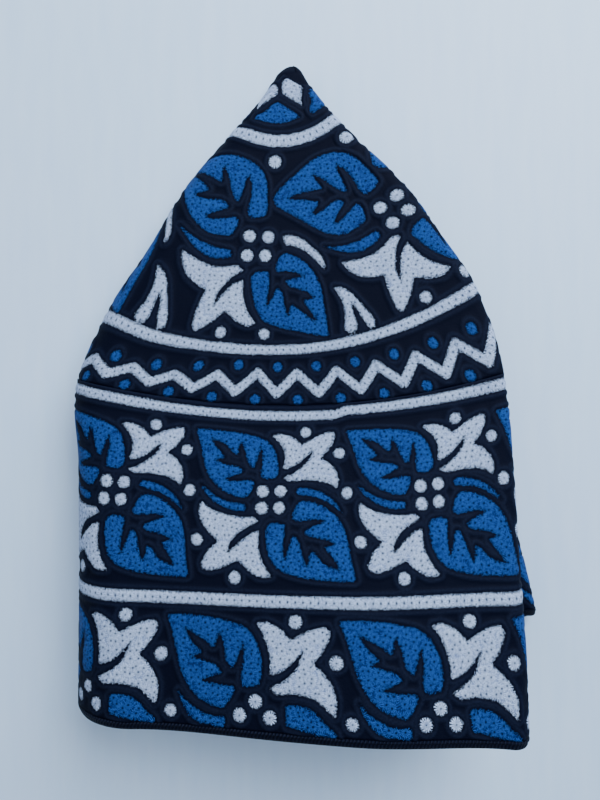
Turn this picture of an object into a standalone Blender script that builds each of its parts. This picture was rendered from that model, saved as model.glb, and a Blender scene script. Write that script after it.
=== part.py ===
"""A round embroidered cap, lying folded in quarters.

The cap is a flat round crown, a side band sewn to the crown's rim and a bound
hem. Folded twice for storage, every ring of the cap becomes one closed loop
that is bent into a hairpin: a front pair of layers lies above a back pair, the
two pairs join in one broad fold on the left, and each ends on the right in a
fold of its own. The head goes between the two layers of a pair, from the hem.

Metres. +X is to the right, +Y runs from the hem to the tip, the cap lies on
z = 0 and the middle of its footprint is at the origin.
"""

from collections import namedtuple

import bpy
import numpy as np

# Driving dimensions
crown_radius = 0.091
band_height = 0.076
hem_width = 0.0045
cloth_wall = 0.0019
hem_wall = 0.0026
seam_gap = 0.0003
folded_width = 0.105
front_height = 0.036
fold_sharpness = 0.6
tip_blunt = 0.003
lining_start = 0.024
tip_offset = -0.003

# Mesh fineness
arm_steps = 9
turn_steps = 8
fold_steps = 6
crown_rings = 13
band_rings = 9
hem_rings = 3

Station = namedtuple(
    "Station",
    "along left right back_right bow_left bow_right shoulder middle edge front_half back_half lift",
)

# One row for each ring of the folded cap.
# along: share of the crown radius, or of the band height.
# left, right, back_right, bow_left, bow_right: shares of the folded width, from the tip's axis.
# shoulder, middle, edge: heights of the front, as shares of the front height.
# front_half, back_half: half the thickness of a pair of layers, as shares of the front height.
# lift: how far the back pair is drawn up at its right fold, as a share of the band height.
CROWN = (
    Station(0.000, 0.022, 0.020, 0.014, 0.000, 0.000, 0.190, 0.190, 0.154, 0.036, 0.036, 0.00),
    Station(0.110, 0.062, 0.062, 0.050, 0.018, 0.018, 0.240, 0.240, 0.180, 0.052, 0.050, 0.00),
    Station(0.275, 0.149, 0.152, 0.130, 0.053, 0.053, 0.295, 0.288, 0.210, 0.068, 0.062, 0.00),
    Station(0.500, 0.270, 0.295, 0.250, 0.095, 0.107, 0.345, 0.332, 0.250, 0.080, 0.072, 0.01),
    Station(0.680, 0.350, 0.384, 0.330, 0.110, 0.138, 0.390, 0.376, 0.290, 0.092, 0.082, 0.04),
    Station(0.825, 0.440, 0.464, 0.390, 0.095, 0.138, 0.430, 0.410, 0.335, 0.100, 0.090, 0.07),
    Station(0.925, 0.492, 0.505, 0.425, 0.072, 0.108, 0.460, 0.435, 0.375, 0.106, 0.094, 0.09),
    Station(1.000, 0.517, 0.524, 0.455, 0.064, 0.080, 0.490, 0.460, 0.410, 0.112, 0.098, 0.11),
)
BAND = (
    Station(0.250, 0.508, 0.540, 0.510, 0.040, 0.048, 0.580, 0.600, 0.500, 0.145, 0.112, 0.15),
    Station(0.500, 0.500, 0.544, 0.560, 0.014, 0.016, 0.670, 0.755, 0.610, 0.175, 0.124, 0.19),
    Station(0.750, 0.495, 0.548, 0.608, 0.002, -0.010, 0.750, 0.890, 0.720, 0.195, 0.135, 0.24),
    Station(1.000, 0.492, 0.546, 0.652, -0.004, -0.032, 0.820, 1.000, 0.810, 0.210, 0.142, 0.28),
)

# Colours
NAVY = (0.008, 0.010, 0.022, 1.0)


def distances_from_tip():
    """Distance along the cloth from the crown's middle to each row's ring."""
    crown = [row.along * crown_radius for row in CROWN]
    band = [crown_radius + row.along * band_height for row in BAND]
    return np.array(crown + band)


def column(name, distance):
    """A column of the two tables at any distance from the tip, on a smooth curve through its rows."""
    knots = distances_from_tip()
    values = np.array([getattr(row, name) for row in CROWN + BAND])
    slopes = np.gradient(values, knots)
    place = np.clip(np.searchsorted(knots, distance, side="right") - 1, 0, len(knots) - 2)
    step = knots[place + 1] - knots[place]
    share = (distance - knots[place]) / step
    return (
        values[place] * (1 + 2 * share) * (1 - share) ** 2
        + slopes[place] * step * share * (1 - share) ** 2
        + values[place + 1] * share**2 * (3 - 2 * share)
        + slopes[place + 1] * step * share**2 * (share - 1)
    )


def run_along_front(distance):
    """Plan distance from the tip, when the cloth keeps its length while the front climbs."""
    walk = np.linspace(0.0, distance, 200)
    climb = np.diff(column("middle", walk)) * front_height
    length = np.diff(walk)
    return np.sum(np.sqrt(np.maximum(length**2 - climb**2, 0.0)))


def taper(half, share_from_fold):
    """Half a pair's thickness along its layers: it thins towards the crease of the right fold."""
    crease = min(half, max(fold_sharpness * half, cloth_wall + 2 * seam_gap))
    near = np.clip(share_from_fold / 0.4, 0.0, 1.0)
    return crease + (half - crease) * near**2 * (3 - 2 * near)


def spine(distance):
    """The line midway between the layers of both pairs, in the plane across the cap.

    It runs from the front pair's right fold, over the front, round the left
    turn as half an ellipse, and back along the table to the back pair's right
    fold. The result holds x, z, half a pair's thickness and the share of the
    back pair that lies behind each point.
    """
    front_half = column("front_half", distance) * front_height
    back_half = column("back_half", distance) * front_height
    left = -column("left", distance) * folded_width
    right = column("right", distance) * folded_width - front_half
    back_right = column("back_right", distance) * folded_width - back_half
    top = column("shoulder", distance) * front_height - front_half
    middle = column("middle", distance) * front_height - front_half
    edge = column("edge", distance) * front_height

    turn_rise = (top - back_half) / 2
    turn_half = (front_half + back_half) / 2
    turn_reach = turn_rise**2 / (turn_half + 2 * seam_gap)
    turn_reach = min(turn_reach, 1.5 * turn_rise)
    turn_x = min(left + turn_half + turn_reach, right - seam_gap)

    share = np.linspace(0.0, 1.0, arm_steps + 1)[:, None]
    ease = share**2 * (3 - 2 * share)
    crest = middle - (top + edge) / 2
    front_x = right + (turn_x - right) * share
    front_z = edge + (top - edge) * ease + crest * 16 * share**2 * (1 - share) ** 2
    front = np.hstack([front_x, front_z, taper(front_half, share), np.zeros_like(share)])

    angle = np.linspace(0.0, np.pi, turn_steps + 1)[1:-1, None]
    turn = np.hstack([
        turn_x - turn_reach * np.sin(angle),
        back_half + turn_rise * (1 + np.cos(angle)),
        front_half + (back_half - front_half) * (1 - np.cos(angle)) / 2,
        np.zeros_like(angle),
    ])

    back_x = turn_x + (max(back_right, turn_x + seam_gap) - turn_x) * share
    back_thickness = taper(back_half, 1 - share)
    back = np.hstack([back_x, back_thickness, back_thickness, share])
    return np.vstack([front, turn, back])


def loop_across(distance, inset):
    """One closed ring of the cap: the spine's two sides, joined by a round fold at each end.

    The inset is how far the ring lies inside the outer face of the cloth.
    """
    line = spine(distance)
    points = line[:, :2]
    tangent = np.gradient(points, axis=0)
    tangent /= np.linalg.norm(tangent, axis=1)[:, None]
    tangent[0] = (-1.0, 0.0)
    tangent[-1] = (1.0, 0.0)
    outward = np.column_stack([tangent[:, 1], -tangent[:, 0]])
    half = (line[:, 2] - inset)[:, None]
    behind = line[:, 3]

    outer_side = points + outward * half
    inner_side = (points - outward * half)[::-1]
    angle = np.linspace(0.0, np.pi, fold_steps + 1)[1:-1, None]
    back_fold = points[-1] + half[-1] * np.hstack([np.sin(angle), -np.cos(angle)])
    front_fold = points[0] + half[0] * np.hstack([np.sin(angle), -np.cos(angle)])
    ring = np.vstack([outer_side, back_fold, inner_side, front_fold])
    share_behind = np.concatenate([
        behind, np.ones(len(angle)), behind[::-1], np.zeros(len(angle)),
    ])
    return place_ring(ring, share_behind, distance)


def place_ring(ring, share_behind, distance):
    """Put a ring across the cap into space: bowed in plan, and drawn up towards the back fold."""
    x = ring[:, 0]
    left = column("left", distance) * folded_width
    right = column("right", distance) * folded_width
    bow = np.where(
        x < 0,
        column("bow_left", distance) * folded_width * np.minimum(-x / left, 1.0) ** 2,
        column("bow_right", distance) * folded_width * np.minimum(x / right, 1.2) ** 2,
    )
    lift = column("lift", distance) * band_height * share_behind**2
    y = bow + lift - run_along_front(distance)
    return np.column_stack([x + tip_offset, y, ring[:, 1]])


def bridge(first, second, count):
    """The faces between two rings of count points each, given the index of their first points."""
    return [
        (first + i, first + (i + 1) % count, second + (i + 1) % count, second + i)
        for i in range(count)
    ]


def tip_faces(start, count):
    """Faces that close the first ring, each between the two sides of the spine."""
    side = (count - 2 * (fold_steps - 1)) // 2
    faces = [
        (start + i, start + 2 * side + fold_steps - 2 - i, start + 2 * side + fold_steps - 3 - i, start + i + 1)
        for i in range(side - 1)
    ]
    back_fold = [start + side - 1 + i for i in range(fold_steps + 1)]
    front_fold = [start + 2 * side + fold_steps - 2 + i for i in range(fold_steps)] + [start]
    return faces + [tuple(reversed(back_fold)), tuple(reversed(front_fold))]


def make_piece(name, rings, faces):
    """A named object from a list of rings and the faces between them."""
    mesh = bpy.data.meshes.new(name)
    mesh.from_pydata(np.vstack(rings).tolist(), [], faces)
    mesh.update()
    piece = bpy.data.objects.new(name, mesh)
    bpy.context.collection.objects.link(piece)
    mesh.shade_smooth()
    return piece


def cloth_material(name, roughness):
    """Dark cotton."""
    material = bpy.data.materials.new(name)
    material.use_nodes = True
    shader = material.node_tree.nodes["Principled BSDF"]
    shader.inputs["Base Color"].default_value = NAVY
    shader.inputs["Roughness"].default_value = roughness
    shader.inputs["Metallic"].default_value = 0.0
    return material


def tube_faces(outer_count, inner_count, size):
    """Faces of a cloth tube: outer face, lining face, and the two rims between them."""
    faces = []
    for ring in range(outer_count - 1):
        faces += bridge(ring * size, (ring + 1) * size, size)
    for ring in range(outer_count, outer_count + inner_count - 1):
        faces += [face[::-1] for face in bridge(ring * size, (ring + 1) * size, size)]
    last_outer = (outer_count - 1) * size
    last_inner = (outer_count + inner_count - 1) * size
    faces += bridge(last_outer, last_inner, size)
    return faces


def make_crown():
    """The round top, closed at its folded tip and open at its rim."""
    rim = crown_radius - seam_gap / 2
    closer_at_tip = np.linspace(0.0, 1.0, crown_rings) ** 1.5
    outer = [loop_across(d, 0.0) for d in tip_blunt + (rim - tip_blunt) * closer_at_tip]
    lining = [loop_across(d, cloth_wall) for d in np.linspace(lining_start, rim, crown_rings - 3)]
    size = len(outer[0])
    faces = tube_faces(len(outer), len(lining), size)
    faces += tip_faces(0, size)
    faces += [face[::-1] for face in tip_faces(len(outer) * size, size)]
    crown = make_piece("crown", outer + lining, faces)
    crown.data.materials.append(cloth_material("crown_cotton", 0.85))
    return crown


def make_tube(name, start, end, wall, ring_count):
    """A strip of cloth that goes all the way round the cap."""
    outer = [loop_across(d, 0.0) for d in np.linspace(start, end, ring_count)]
    lining = [loop_across(d, wall) for d in np.linspace(start, end, ring_count)]
    size = len(outer[0])
    faces = tube_faces(len(outer), len(lining), size)
    faces += [face[::-1] for face in bridge(0, len(outer) * size, size)]
    return make_piece(name, outer + lining, faces)


def make_side_band():
    """The side wall, from the crown's rim to the hem."""
    start = crown_radius + seam_gap / 2
    end = crown_radius + band_height - hem_width - seam_gap / 2
    band = make_tube("side_band", start, end, cloth_wall, band_rings)
    band.data.materials.append(cloth_material("band_cotton", 0.85))
    return band


def make_hem():
    """The bound edge, a little thicker than the wall it finishes."""
    start = crown_radius + band_height - hem_width + seam_gap / 2
    end = crown_radius + band_height
    hem = make_tube("hem_edge", start, end, hem_wall, hem_rings)
    hem.data.materials.append(cloth_material("hem_binding", 0.7))
    return hem


def centre_on_footprint(pieces):
    """Move the meshes so that the middle of the cap's footprint is the origin."""
    corners = np.array([v.co for piece in pieces for v in piece.data.vertices])
    middle = (corners.min(axis=0) + corners.max(axis=0)) / 2
    for piece in pieces:
        for vertex in piece.data.vertices:
            vertex.co.x -= middle[0]
            vertex.co.y -= middle[1]
        piece.data.update()


def build_cap():
    for existing in list(bpy.data.objects):
        bpy.data.objects.remove(existing, do_unlink=True)
    pieces = [make_crown(), make_side_band(), make_hem()]
    centre_on_footprint(pieces)


build_cap()
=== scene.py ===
# %% [markdown]
# # An embroidered prayer cap, folded flat
# The cap is a round crown sewn to a tall side band, with a bound hem. It lies folded in quarters on a
# table, so its outline comes to a point where the middle of the crown is. We first load the plain model
# of the cap, which says where the cloth lies, and then build the embroidered cloth over it.

from collections import namedtuple

import bpy
import numpy as np
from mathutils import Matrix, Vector
from mathutils.geometry import tessellate_polygon


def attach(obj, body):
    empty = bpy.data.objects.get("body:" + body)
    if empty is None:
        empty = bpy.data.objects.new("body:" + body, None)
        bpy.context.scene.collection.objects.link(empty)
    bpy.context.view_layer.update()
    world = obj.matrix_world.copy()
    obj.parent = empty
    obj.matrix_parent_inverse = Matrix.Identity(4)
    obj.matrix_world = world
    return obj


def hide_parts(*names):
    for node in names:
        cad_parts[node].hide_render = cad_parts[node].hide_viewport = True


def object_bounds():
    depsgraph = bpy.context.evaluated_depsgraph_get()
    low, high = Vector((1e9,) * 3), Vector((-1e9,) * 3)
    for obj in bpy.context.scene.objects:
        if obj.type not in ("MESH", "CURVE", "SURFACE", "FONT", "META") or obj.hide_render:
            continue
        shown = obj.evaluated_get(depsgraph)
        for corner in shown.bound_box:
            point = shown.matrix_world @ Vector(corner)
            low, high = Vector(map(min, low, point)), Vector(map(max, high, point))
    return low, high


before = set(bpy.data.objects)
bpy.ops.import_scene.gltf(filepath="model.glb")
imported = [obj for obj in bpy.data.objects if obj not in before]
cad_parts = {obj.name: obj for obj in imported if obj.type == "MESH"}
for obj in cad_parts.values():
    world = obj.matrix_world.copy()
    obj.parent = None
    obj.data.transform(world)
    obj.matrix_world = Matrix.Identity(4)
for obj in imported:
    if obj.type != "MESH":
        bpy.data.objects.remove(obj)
cad_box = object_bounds()
print("plain model:", cad_box)

# %% [markdown]
# ## How the folded cloth lies
# The cloth could be draped by simulation, but a cap pressed into a neat fold is easier to draw than to
# simulate. So it is described by rings across it, at many distances from the crown's middle.
# Each row of the tables gives one ring: how far it reaches left and right, and how high its layers lie.
# These are the plain model's own tables, and we read them at finer steps.

# %% Real sizes, in metres, and the two tables of rings
crown_radius = 0.091
band_height = 0.076
cloth_wall = 0.0019
hem_wall = 0.0026
seam_gap = 0.0003
folded_width = 0.105
front_height = 0.036
fold_sharpness = 0.6
tip_blunt = 0.003
lining_start = 0.024
tip_offset = -0.003

# Lengths across are shares of folded_width, heights of front_height, and lift of band_height
Station = namedtuple(
    "Station",
    "along left right back_right bow_left bow_right shoulder middle edge front_half back_half lift",
)
CROWN = (
    Station(0.000, 0.022, 0.020, 0.014, 0.000, 0.000, 0.190, 0.190, 0.154, 0.036, 0.036, 0.00),
    Station(0.110, 0.062, 0.062, 0.050, 0.018, 0.018, 0.240, 0.240, 0.180, 0.052, 0.050, 0.00),
    Station(0.275, 0.149, 0.152, 0.130, 0.053, 0.053, 0.295, 0.288, 0.210, 0.068, 0.062, 0.00),
    Station(0.500, 0.270, 0.295, 0.250, 0.095, 0.107, 0.345, 0.332, 0.250, 0.080, 0.072, 0.01),
    Station(0.680, 0.350, 0.384, 0.330, 0.110, 0.138, 0.390, 0.376, 0.290, 0.092, 0.082, 0.04),
    Station(0.825, 0.440, 0.464, 0.390, 0.095, 0.138, 0.430, 0.410, 0.335, 0.100, 0.090, 0.07),
    Station(0.925, 0.492, 0.505, 0.425, 0.072, 0.108, 0.460, 0.435, 0.375, 0.106, 0.094, 0.09),
    Station(1.000, 0.517, 0.524, 0.455, 0.064, 0.080, 0.490, 0.460, 0.410, 0.112, 0.098, 0.11),
)
BAND = (
    Station(0.250, 0.508, 0.540, 0.510, 0.040, 0.048, 0.580, 0.600, 0.500, 0.145, 0.112, 0.15),
    Station(0.500, 0.500, 0.544, 0.560, 0.014, 0.016, 0.670, 0.755, 0.610, 0.175, 0.124, 0.19),
    Station(0.750, 0.495, 0.548, 0.608, 0.002, -0.010, 0.750, 0.890, 0.720, 0.195, 0.135, 0.24),
    Station(1.000, 0.492, 0.546, 0.652, -0.004, -0.032, 0.820, 1.000, 0.810, 0.210, 0.142, 0.28),
)
ring_places = np.array(
    [row.along * crown_radius for row in CROWN] + [crown_radius + row.along * band_height for row in BAND]
)
print("rings in the tables:", len(ring_places), "cloth from middle to hem:", ring_places[-1])


# %% A smooth value between the rows
def column(name, distance):
    """A table column at any distance: between two rows, a cubic that keeps the slope of the rows beside."""
    values = np.array([getattr(row, name) for row in CROWN + BAND])
    slopes = np.gradient(values, ring_places)
    place = np.clip(np.searchsorted(ring_places, distance, side="right") - 1, 0, len(ring_places) - 2)
    step = ring_places[place + 1] - ring_places[place]
    share = (distance - ring_places[place]) / step
    return (
        values[place] * (1 + 2 * share) * (1 - share) ** 2
        + slopes[place] * step * share * (1 - share) ** 2
        + values[place + 1] * share**2 * (3 - 2 * share)
        + slopes[place + 1] * step * share**2 * (share - 1)
    )


def run_along_front(distance):
    """Plan distance from the tip: the root of cloth length squared less climb squared, summed."""
    walk = np.linspace(0.0, distance, 200)
    climb = np.diff(column("middle", walk)) * front_height
    length = np.diff(walk)
    return np.sum(np.sqrt(np.maximum(length**2 - climb**2, 0.0)))


def soft_step(value, start, end):
    """Rises from 0 at start to 1 at end, as three squares less two cubes of the share between them."""
    share = np.clip((value - start) / (end - start), 0.0, 1.0)
    return share**2 * (3 - 2 * share)


width_to_right = column("right", 0.129) * folded_width
print("half way down the band the cap is", round(width_to_right, 4), "m wide to the right")


# %% [markdown]
# ## One ring across the cap
# Seen from the tip, the folded cloth is a hairpin. A front pair of layers joins a back pair round the
# broad left fold, and each pair ends in a tight fold at the right. We draw the line midway between the
# layers, and step off it to both sides. The step is half the pair's thickness, and less for the lining.

# %% The line midway between the layers
arm_points = 70
turn_points = 36
fold_points = 16


def taper(half, share_from_fold):
    """Half thickness along a pair: full away from the crease, and thinner near it, on a soft step."""
    crease = min(half, max(fold_sharpness * half, cloth_wall + 2 * seam_gap))
    return crease + (half - crease) * soft_step(share_from_fold, 0.0, 0.4)


def spine(distance):
    """Front arm, half an ellipse round the left, and back arm: x, z, half thickness, share behind."""
    front_half = column("front_half", distance) * front_height
    back_half = column("back_half", distance) * front_height
    left = -column("left", distance) * folded_width
    right = column("right", distance) * folded_width - front_half
    back_right = column("back_right", distance) * folded_width - back_half
    top = column("shoulder", distance) * front_height - front_half
    middle = column("middle", distance) * front_height - front_half
    edge = column("edge", distance) * front_height
    turn_rise = (top - back_half) / 2
    turn_half = (front_half + back_half) / 2
    turn_reach = min(turn_rise**2 / (turn_half + 2 * seam_gap), 1.5 * turn_rise)
    turn_x = min(left + turn_half + turn_reach, right - seam_gap)

    share = np.linspace(0.0, 1.0, arm_points + 1)[:, None]
    ease = share**2 * (3 - 2 * share)
    crest = middle - (top + edge) / 2
    front_x = right + (turn_x - right) * share
    front_z = edge + (top - edge) * ease + crest * 16 * share**2 * (1 - share) ** 2
    front = np.hstack([front_x, front_z, taper(front_half, share), np.zeros_like(share)])
    angle = np.linspace(0.0, np.pi, turn_points + 1)[1:-1, None]
    turn = np.hstack([
        turn_x - turn_reach * np.sin(angle),
        back_half + turn_rise * (1 + np.cos(angle)),
        front_half + (back_half - front_half) * (1 - np.cos(angle)) / 2,
        np.zeros_like(angle),
    ])
    back_x = turn_x + (max(back_right, turn_x + seam_gap) - turn_x) * share
    back_thickness = taper(back_half, 1 - share)
    back = np.hstack([back_x, back_thickness, back_thickness, share])
    return np.vstack([front, turn, back])


# %% Points round the ring, closer together where the cloth is seen
ends = np.cumsum([0, arm_points, turn_points, arm_points])
face_columns = (220, 50, 150)
hidden_columns = (24, 10, 16)
back_fold_columns = 10
front_fold_columns = 20
# Columns counted from the hidden stretch's start, and from its end, over which the relief fades
relief_fades = (-3, 8)
relief_returns = (3, -2)
column_count = sum(face_columns) + sum(hidden_columns) + back_fold_columns + front_fold_columns


def spaced(points, count):
    """count points at equal arc lengths along a line of points; the line's last point is left out."""
    steps = np.linalg.norm(np.diff(points[:, :2], axis=0), axis=1)
    arc = np.concatenate([[0.0], np.cumsum(steps)])
    at = np.linspace(0.0, arc[-1], count + 1)[:-1]
    return np.stack([np.interp(at, arc, points[:, k]) for k in range(points.shape[1])], axis=1)


# At the fold of the second pair of layers the left side of a leaf shows, so on its way there round the
# underside the pattern gains this share of the distance from the tip.
pattern_slip = 0.024


def ring_across(distance, inset):
    """A closed ring: the midway line plus and minus half the thickness along its normal, and two folds.

    Returns the ring in space, the cloth's length from the front's axis to each point, and how near
    each point is to the inside of the folds, from 0 outside to 1 inside.
    """
    line = spine(distance)
    points = line[:, :2]
    tangent = np.gradient(points, axis=0)
    tangent /= np.linalg.norm(tangent, axis=1)[:, None]
    tangent[0] = (-1.0, 0.0)
    tangent[-1] = (1.0, 0.0)
    outward = np.column_stack([tangent[:, 1], -tangent[:, 0]])
    half = (line[:, 2] - inset)[:, None]
    behind = line[:, 3:4]
    outer = np.hstack([points + outward * half, behind])
    inner = np.hstack([points - outward * half, behind])
    angle = np.linspace(0.0, np.pi, fold_points + 1)[:, None]
    bulge = np.hstack([np.sin(angle), -np.cos(angle)])
    back_fold = np.hstack([points[-1] + half[-1] * bulge, np.ones_like(angle)])
    front_fold = np.hstack([points[0] + half[0] * bulge, np.zeros_like(angle)])

    parts = [spaced(outer[a:b + 1], n) for a, b, n in zip(ends[:-1], ends[1:], face_columns)]
    parts.append(spaced(back_fold, back_fold_columns))
    parts += [
        spaced(inner[a:b + 1][::-1], n) for a, b, n in zip(ends[-2::-1], ends[:0:-1], hidden_columns)
    ]
    parts.append(spaced(front_fold, front_fold_columns))
    ring = np.vstack(parts)

    loop = np.vstack([ring, ring[:1]])
    steps = np.linalg.norm(np.diff(loop[:, :2], axis=0), axis=1)
    walked = np.concatenate([[0.0], np.cumsum(steps)])
    face = face_columns[0]
    axis_at = np.interp(0.0, -(ring[:face, 0]), walked[:face])
    cut = sum(face_columns) + back_fold_columns + hidden_columns[0] + hidden_columns[1] // 2
    index = np.arange(len(ring))
    along = axis_at - walked[:-1] + np.where(index > cut, walked[-1], 0.0)
    slipped = pattern_slip * distance * soft_step(index, face_columns[0], sum(face_columns))
    along = along + np.where(index > cut, 0.0, slipped)

    hidden_start = sum(face_columns) + back_fold_columns
    hidden_end = hidden_start + sum(hidden_columns)
    hidden = soft_step(index, *(hidden_start + np.array(relief_fades)))
    hidden = hidden * soft_step(index, *(hidden_end + np.array(relief_returns)))

    x = ring[:, 0]
    left = column("left", distance) * folded_width
    right = column("right", distance) * folded_width
    bow = np.where(
        x < 0,
        column("bow_left", distance) * folded_width * np.minimum(-x / left, 1.0) ** 2,
        column("bow_right", distance) * folded_width * np.minimum(x / right, 1.2) ** 2,
    )
    lift = column("lift", distance) * band_height * ring[:, 2] ** 2
    y = bow + lift - run_along_front(distance)
    return np.column_stack([x + tip_offset, y, ring[:, 1]]), along, hidden


# The plain model stands with the middle of its footprint at the origin, so the cloth moves there too: the
# hem's rightmost point and the tip come to the edges of the plain model's box.
hem_ring = ring_across(crown_radius + band_height, 0.0)[0]
blunt_ring = ring_across(tip_blunt, 0.0)[0]
to_footprint = np.array([
    cad_box[1].x - hem_ring[:, 0].max(), cad_box[1].y - blunt_ring[:, 1].max(), 0.0,
])
print("columns round the cap:", column_count, "and moved by", to_footprint)


def cloth_grid(distances, insets):
    """Rings stacked into a grid: points, length along the ring, distance from the tip, hidden share."""
    rings = [ring_across(d, inset) for d, inset in np.broadcast(distances, insets)]
    points = np.stack([ring[0] for ring in rings]) + to_footprint
    along = np.stack([ring[1] for ring in rings])
    hidden = np.stack([ring[2] for ring in rings])
    down = np.repeat(distances[:, None], points.shape[1], axis=1)
    return points, along, down, hidden


# %% [markdown]
# ## The pattern, charted
# Leaves, open flowers, crescents and dots are the traditional motifs of such caps. An embroiderer works
# them from a chart on squared paper, and so do we: each shape is a few corners read off a chart, in tenths
# of a square. The shapes are kept as outlines rather than as pictures, so their edges stay sharp at any
# size, and the distance to an outline later gives us both the colour and the height of the stitches.

# %% One motif of the lower row: a leaf with its veins, an open flower, and what fills the corners
LEAF = (
    (170, 140), (330, 135), (480, 145), (620, 170), (720, 195), (790, 250), (835, 330), (865, 420),
    (870, 540), (850, 610), (800, 625), (740, 630), (720, 590), (740, 430), (735, 310), (660, 510),
    (610, 460), (590, 330), (555, 240), (520, 370), (440, 310), (290, 225), (350, 330), (435, 410),
    (345, 440), (540, 490), (580, 545), (410, 610), (560, 630), (660, 630), (680, 660), (640, 730),
    (590, 795), (500, 775), (420, 740), (350, 680), (300, 600), (265, 510), (235, 380), (210, 260),
)
OPEN_FLOWER = (
    (820, 175), (890, 160), (950, 185), (1010, 220), (1070, 290), (1150, 240), (1240, 200), (1320, 185),
    (1345, 220), (1335, 280), (1290, 370), (1230, 440), (1300, 500), (1360, 570), (1400, 660), (1405, 730),
    (1395, 800), (1330, 740), (1250, 680), (1150, 660), (1080, 655), (980, 670), (930, 630), (1000, 590),
    (1060, 550), (1120, 480), (1165, 350), (1100, 430), (1040, 490), (980, 520), (930, 535), (930, 440),
    (910, 340), (870, 240),
)
LEFT_CRESCENT = (
    (255, 690), (300, 750), (370, 800), (450, 840), (530, 855), (600, 850), (610, 880), (595, 935),
    (500, 915), (430, 910), (360, 880), (310, 820), (280, 760),
)
RIGHT_CRESCENT = (
    (1045, 740), (1120, 735), (1200, 745), (1270, 785), (1330, 850), (1400, 900), (1415, 950),
    (1330, 930), (1210, 910), (1100, 885), (1055, 880),
)
LOWER_DOTS = (
    (1100, 155, 50), (1395, 430, 50), (830, 725, 50), (715, 830, 50), (935, 830, 50), (200, 835, 45),
)
lower_centre = (830, 725)

# %% The upper row's motif: two leaves and two flowers, turned half way round from each other
UPPER_LEAF = (
    (103, 198), (230, 200), (350, 207), (450, 218), (540, 240), (600, 265), (645, 310), (672, 370),
    (688, 440), (688, 520), (665, 555), (610, 562), (568, 550), (567, 500), (578, 420), (572, 335),
    (563, 322), (548, 370), (530, 430), (515, 480), (495, 475), (470, 430), (455, 370), (435, 310),
    (418, 283), (405, 320), (398, 383), (370, 370), (320, 310), (270, 285), (205, 262), (225, 310),
    (270, 360), (308, 410), (280, 414), (235, 430), (290, 455), (350, 468), (400, 475), (436, 497),
    (438, 512), (370, 545), (300, 572), (350, 588), (430, 582), (490, 575), (520, 590), (515, 620),
    (495, 665), (470, 700), (430, 705), (380, 695), (310, 665), (250, 620), (215, 580), (185, 530),
    (165, 470), (150, 400), (135, 320), (115, 250),
)
UPPER_FLOWER = (
    (635, 222), (700, 212), (770, 228), (820, 262), (850, 300), (900, 270), (960, 232), (1040, 205),
    (1080, 205), (1090, 225), (1080, 280), (1040, 345), (985, 405), (1050, 440), (1095, 495), (1117, 560),
    (1115, 600), (1103, 635), (1060, 600), (1000, 578), (930, 570), (860, 570), (775, 580), (722, 552),
    (780, 530), (830, 495), (880, 450), (920, 395), (938, 335), (900, 370), (850, 425), (790, 465),
    (735, 485), (725, 480), (738, 420), (735, 350), (710, 295), (670, 250),
)
FACING_FLOWER = (
    (150, 745), (180, 780), (250, 820), (350, 845), (440, 855), (520, 850), (553, 882), (500, 910),
    (430, 950), (380, 1000), (345, 1060), (340, 1115), (380, 1080), (430, 1030), (510, 965), (562, 955),
    (555, 1000), (560, 1100), (590, 1180), (620, 1230), (655, 1272), (610, 1282), (560, 1280), (500, 1240),
    (450, 1200), (425, 1165), (370, 1185), (300, 1220), (220, 1245), (165, 1235), (150, 1195), (200, 1100),
    (275, 1030), (220, 990), (160, 920), (135, 850), (128, 800),
)
UPPER_CRESCENT = (
    (140, 620), (175, 650), (240, 700), (310, 735), (380, 750), (450, 758), (465, 775), (460, 795),
    (440, 808), (380, 803), (310, 785), (240, 745), (180, 690), (155, 650),
)
UPPER_DOTS = (
    (583, 657, 45), (708, 653, 43), (577, 783, 45), (700, 777, 43), (880, 200, 40), (1120, 370, 40),
    (1178, 672, 42), (118, 1028, 43), (395, 1288, 45),
)
upper_centre = (642, 718)

# %% One of the crown's groups
CROWN_CRESCENT = (
    (232, 655), (280, 710), (350, 760), (430, 800), (500, 815), (560, 825), (565, 860), (540, 880),
    (460, 880), (400, 865), (330, 810), (290, 760), (260, 710),
)
CROWN_FLOWER = (
    (245, 825), (290, 855), (360, 900), (440, 935), (520, 940), (600, 925), (650, 960), (570, 1000),
    (510, 1060), (470, 1100), (440, 1190), (490, 1130), (560, 1060), (620, 1030), (645, 1025), (640, 1110),
    (660, 1200), (700, 1270), (735, 1310), (670, 1325), (600, 1290), (520, 1215), (450, 1270), (390, 1300),
    (320, 1325), (300, 1290), (330, 1200), (370, 1120), (395, 1080), (330, 1040), (270, 980), (245, 900),
)
CROWN_LEAF = (
    (940, 840), (1010, 860), (1090, 910), (1150, 980), (1190, 1070), (1210, 1180), (1230, 1290), (1245, 1390),
    (1180, 1385), (1080, 1370), (960, 1350), (860, 1325), (780, 1290), (730, 1200), (705, 1100), (700, 1000),
    (740, 970), (820, 965), (825, 1000), (820, 1080), (805, 1210), (850, 1140), (880, 1070), (920, 1110),
    (930, 1180), (960, 1280), (980, 1180), (1040, 1220), (1165, 1310), (1140, 1250), (1060, 1155),
    (1100, 1150), (1150, 1135), (1080, 1090), (980, 1070), (935, 1030), (1000, 1010), (1085, 990),
    (1000, 965), (930, 960), (880, 965), (870, 930), (900, 860),
)
CROWN_WHITE_CRESCENT = (
    (925, 720), (1000, 720), (1070, 750), (1130, 800), (1190, 850), (1215, 910), (1215, 945), (1190, 920),
    (1140, 870), (1080, 820), (1010, 790), (940, 780), (925, 750),
)
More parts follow.
